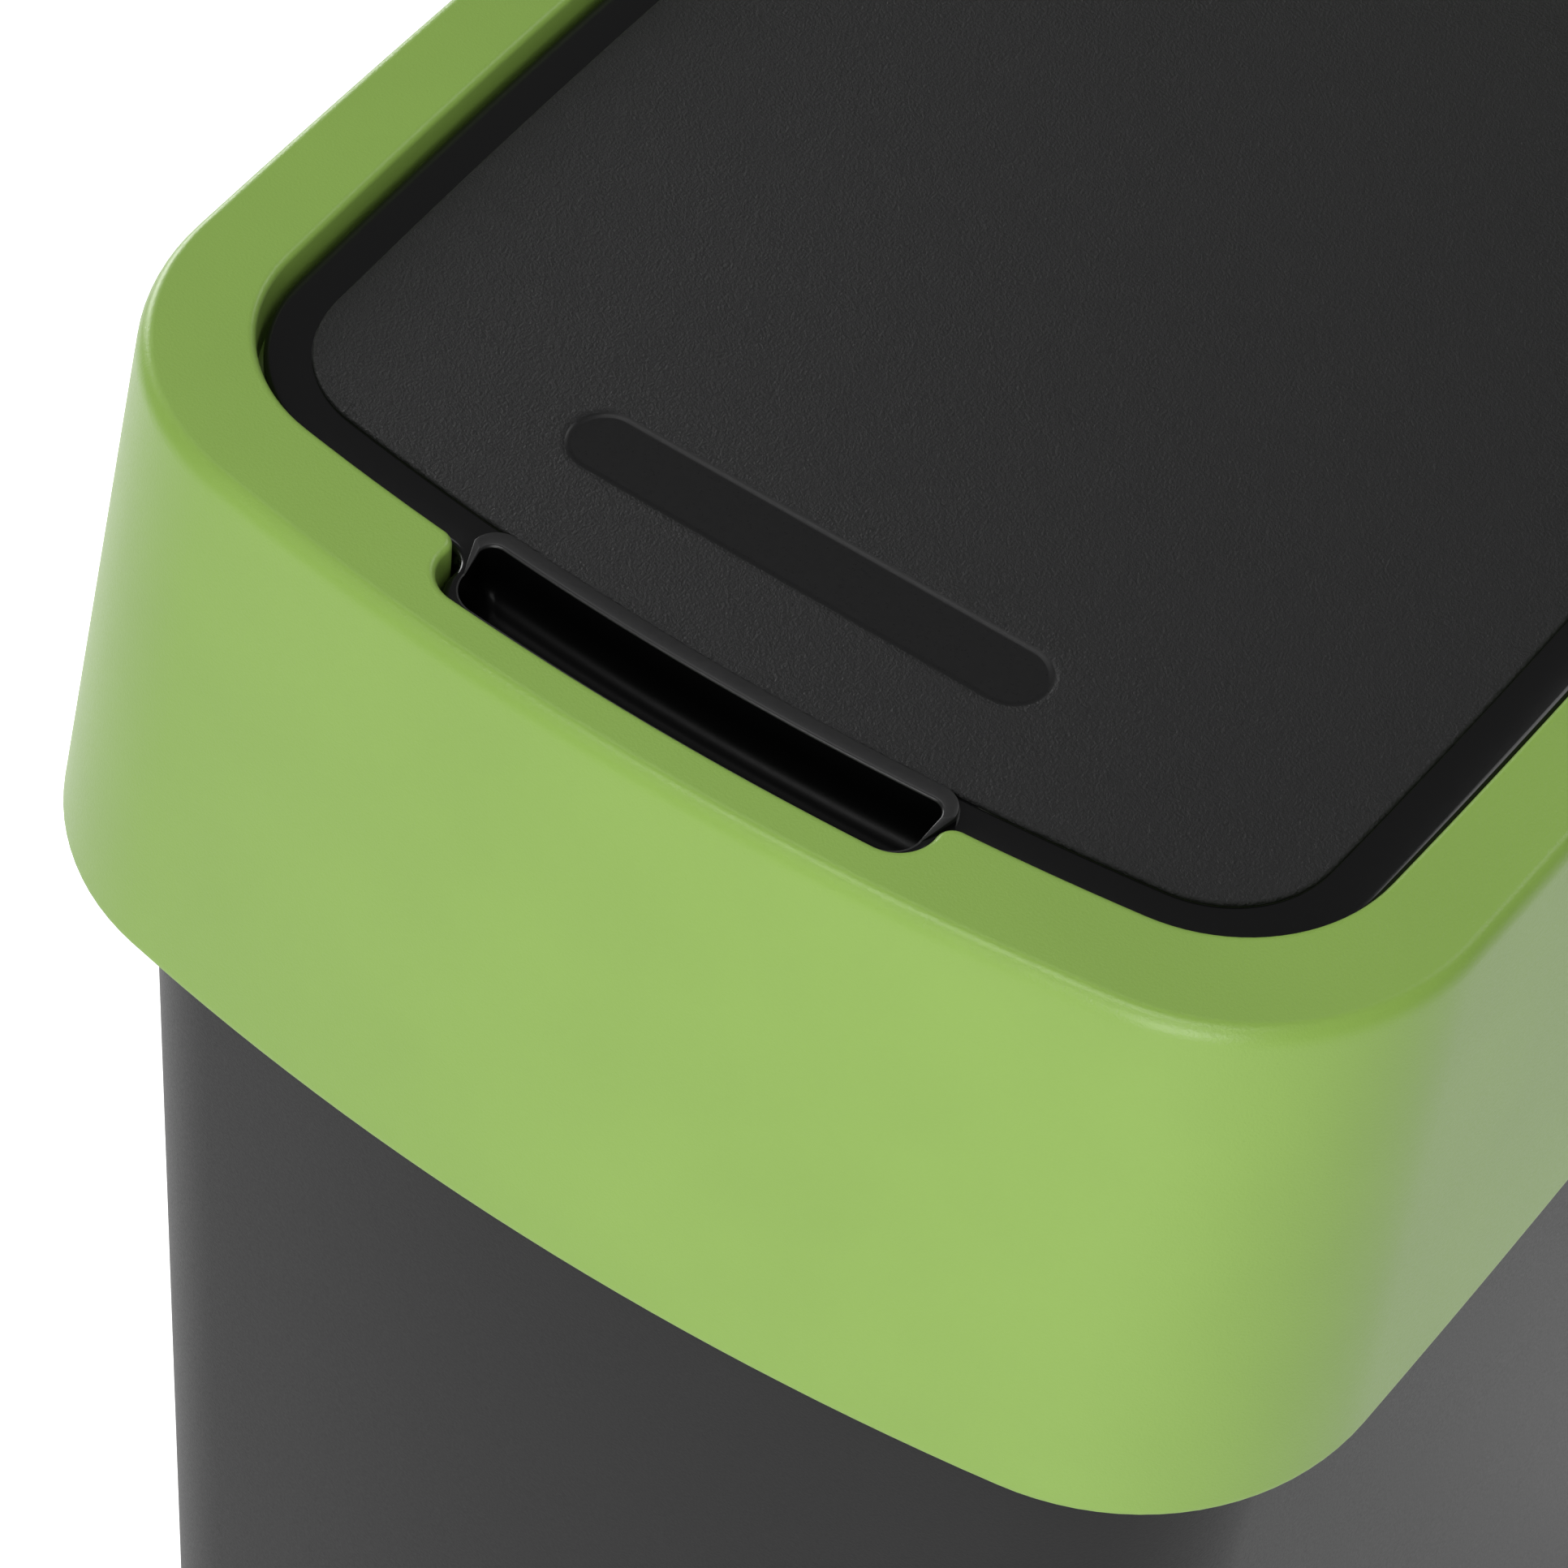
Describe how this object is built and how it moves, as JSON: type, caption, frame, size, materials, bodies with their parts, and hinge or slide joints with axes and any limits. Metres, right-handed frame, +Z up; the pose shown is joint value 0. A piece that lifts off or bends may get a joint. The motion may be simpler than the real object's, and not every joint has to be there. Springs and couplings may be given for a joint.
{
  "type": "flip-lid trash can",
  "caption": "Free-standing kitchen bin: tapered bucket, lift-off flared collar with a finger notch, and a recessed lid that flips up on hinge pins.",
  "frame": {"origin": "centre of the base, on the floor", "axes": "+Z up; -Y to the front, where the finger notch is; +X to the right seen from the front"},
  "size_m": [0.26, 0.34, 0.47],
  "materials": {
    "body_grey": "satin injection-moulded polypropylene with a fine grain",
    "collar_green": "satin injection-moulded polypropylene with a fine leather-like grain",
    "lid_black": "matte grained panel inside a smooth, glossier border, pad and finger scoop",
    "pin_nylon": "smooth turned nylon"
  },
  "bodies": {
    "bin": {"bin_body": "body_grey"},
    "collar": {"collar": "collar_green", "hinge_pin_left": "pin_nylon", "hinge_pin_right": "pin_nylon"},
    "lid": {"lid": "lid_black"}
  },
  "joints": [
    {"name": "collar_lift", "type": "slide", "parent": "bin", "child": "collar", "axis": [0, 0, 1], "range_m": [0, 0.13]},
    {"name": "lid_hinge", "type": "hinge", "parent": "collar", "child": "lid", "pos_m": [0, 0.099, 0.4594], "axis": [-1, 0, 0], "range_deg": [0, 100]}
  ]
}
